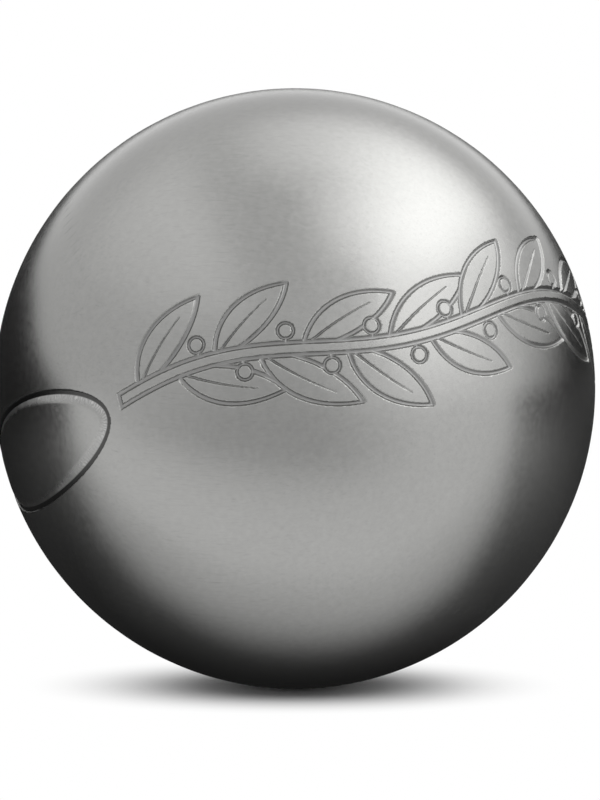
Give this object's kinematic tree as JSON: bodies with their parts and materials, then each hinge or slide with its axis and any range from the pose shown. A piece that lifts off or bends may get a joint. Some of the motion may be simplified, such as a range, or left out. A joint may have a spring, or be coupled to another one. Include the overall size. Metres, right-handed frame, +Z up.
{
  "type": "petanque boule",
  "caption": "Hollow steel ball for petanque: pressed half-shells joined by a flush weld, with an oval channel stamped round a plain pad on one side.",
  "frame": {"origin": "centre of the ball", "axes": "+Z up as the ball lies, +Y along the axis of the weld from the front half-shell to the rear one, +X to the right as seen from the front half-shell"},
  "size_m": [0.074, 0.074, 0.074],
  "materials": {
    "shell_steel": "satin, fine random polishing scratches",
    "weld_steel": "turned flush and polished with the shells"
  },
  "bodies": {
    "root": {"front_half_shell": "shell_steel", "rear_half_shell": "shell_steel", "weld_seam": "weld_steel"}
  },
  "joints": []
}
